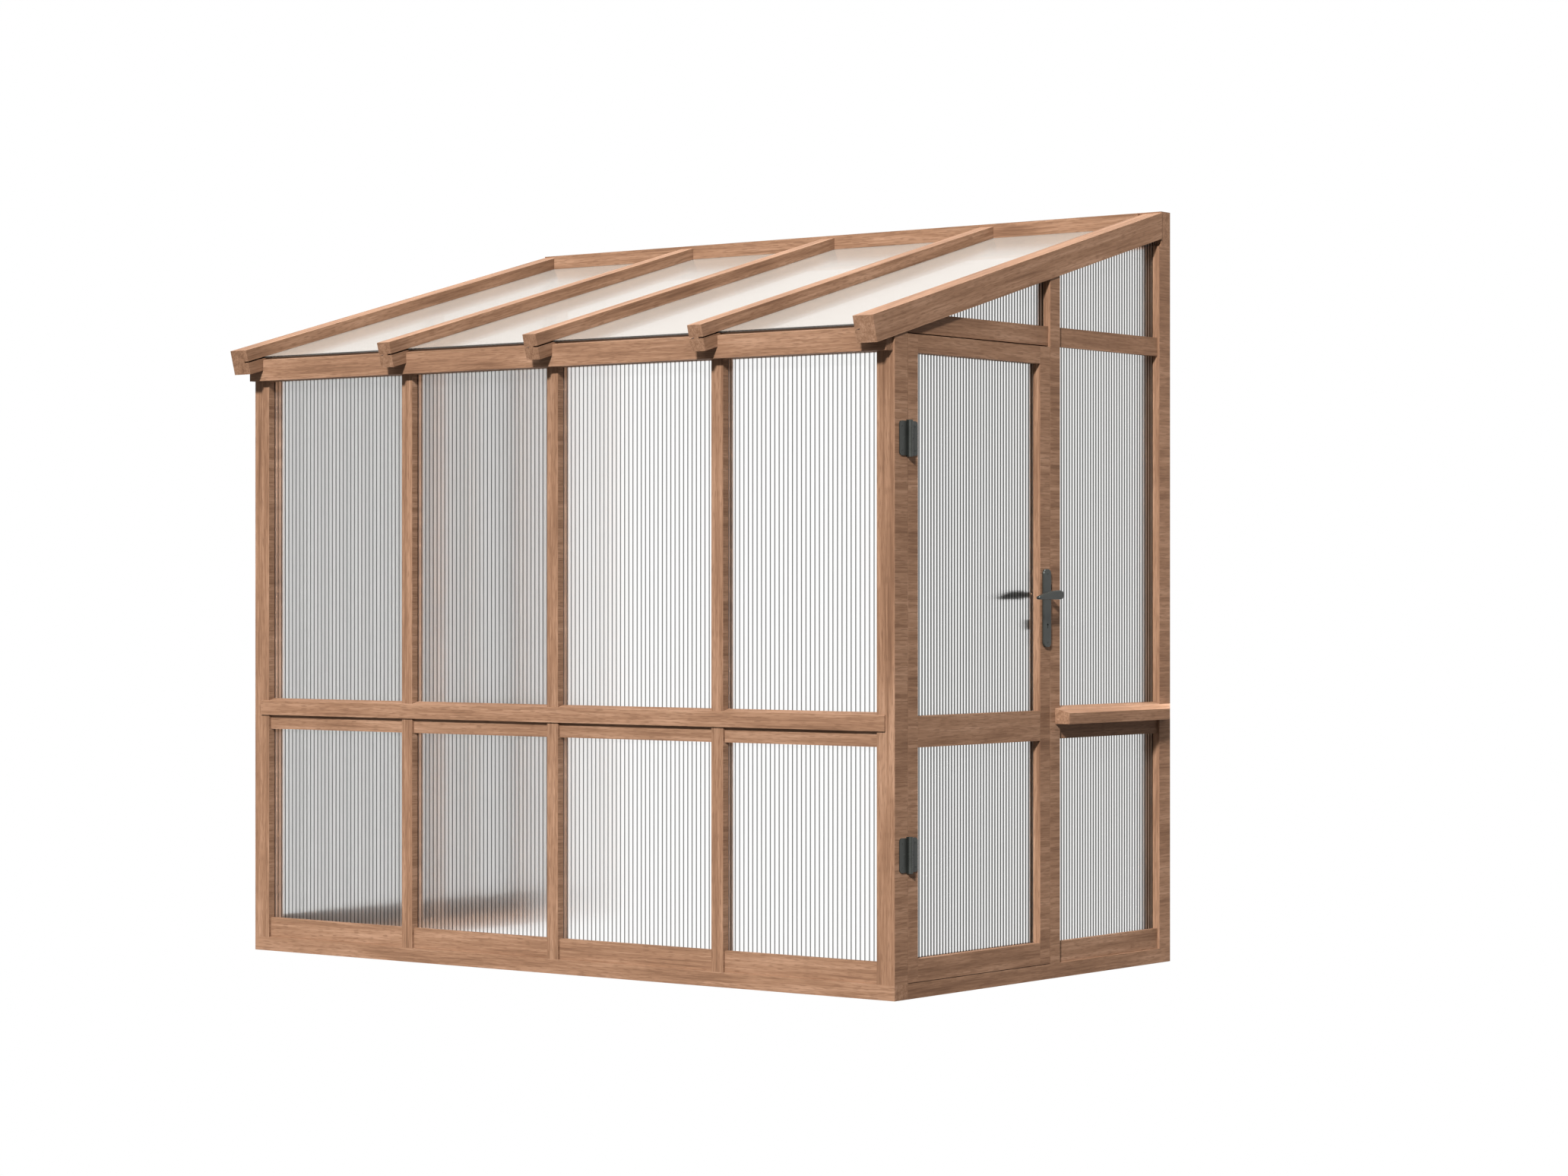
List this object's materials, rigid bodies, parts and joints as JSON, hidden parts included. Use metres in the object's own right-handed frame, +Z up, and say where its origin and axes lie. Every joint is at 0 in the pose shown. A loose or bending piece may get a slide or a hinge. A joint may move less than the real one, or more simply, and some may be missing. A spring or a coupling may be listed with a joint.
{
  "type": "lean to greenhouse",
  "caption": "Timber lean-to greenhouse with ribbed translucent sheets, a sloped roof on rafters, sills at waist height and a hinged door with lever handle in one end wall.",
  "frame": {"origin": "middle of the underside of the front sole plate, on the ground", "axes": "+X to the right along the front wall, toward the wall with the door; +Y from the front wall back to the house wall; +Z up"},
  "size_m": [2.4986, 1.5095, 2.24],
  "materials": {
    "timber": "sawn and planed softwood, stained red brown",
    "glazing": "translucent twin wall sheet with fine ribs",
    "dark_metal": "dark grey, satin",
    "steel": "zinc plated"
  },
  "bodies": {
    "frame": {"front_sole_plate": "timber", "right_sole_plate": "timber", "left_sole_plate": "timber", "left_corner_post": "timber", "right_corner_post": "timber", "front_stud_1": "timber", "front_stud_2": "timber", "front_stud_3": "timber", "front_foot_rail": "timber", "front_waist_rail": "timber", "front_sill": "timber", "eaves_beam": "timber", "strike_post": "timber", "left_mid_post": "timber", "right_rear_post": "timber", "left_rear_post": "timber", "right_foot_rail": "timber", "right_waist_rail": "timber", "left_foot_rail": "timber", "left_waist_rail": "timber", "right_sill": "timber", "right_lintel": "timber", "rafter_1": "timber", "rafter_2": "timber", "rafter_3": "timber", "rafter_4": "timber", "rafter_5": "timber", "ridge_board": "timber", "front_sheet_1": "glazing", "front_sheet_2": "glazing", "front_sheet_3": "glazing", "front_sheet_4": "glazing", "right_sheet": "glazing", "left_sheet_front": "glazing", "left_sheet_rear": "glazing", "door_gable_sheet": "glazing", "roof_sheet_1": "glazing", "roof_sheet_2": "glazing", "roof_sheet_3": "glazing", "roof_sheet_4": "glazing", "lower_hinge_frame_leaf": "dark_metal", "upper_hinge_frame_leaf": "dark_metal", "keep_plate": "steel"},
    "door": {"door_hinge_stile": "timber", "door_lock_stile": "timber", "door_top_rail": "timber", "door_waist_rail": "timber", "door_foot_rail": "timber", "door_upper_sheet": "glazing", "door_lower_sheet": "glazing", "lower_hinge_door_leaf": "dark_metal", "upper_hinge_door_leaf": "dark_metal", "outer_handle_plate": "dark_metal", "inner_handle_plate": "dark_metal", "lock_case": "steel"},
    "lever": {"outer_lever": "dark_metal", "inner_lever": "dark_metal"},
    "latch": {"latch_bolt": "steel"},
    "bolt": {"dead_bolt": "steel"},
    "turn": {"thumb_turn": "dark_metal"}
  },
  "joints": [
    {"name": "door_swing", "type": "hinge", "parent": "frame", "child": "door", "pos_m": [1.228, 0.031, 0.9], "axis": [0, 0, -1], "range_deg": [0, 170]},
    {"name": "lever_turn", "type": "hinge", "parent": "door", "child": "lever", "pos_m": [1.22, 0.703, 1.096], "axis": [1, 0, 0], "range_deg": [0, 40], "stiffness_Nm_per_rad": 1.2, "springref_deg": -17.19},
    {"name": "latch_slide", "type": "slide", "parent": "door", "child": "latch", "axis": [0, 1, 0], "range_m": [-0.009, 0]},
    {"name": "thumb_turn", "type": "hinge", "parent": "door", "child": "turn", "pos_m": [1.18, 0.703, 1.011], "axis": [1, 0, 0], "range_deg": [0, 90]},
    {"name": "bolt_slide", "type": "slide", "parent": "door", "child": "bolt", "axis": [0, 1, 0], "range_m": [0, 0.0142]}
  ],
  "couplings": [
    {"joint": "latch_slide", "follows": "lever_turn", "m_per_rad": -0.0122},
    {"joint": "bolt_slide", "follows": "thumb_turn", "m_per_rad": 0.0089}
  ]
}
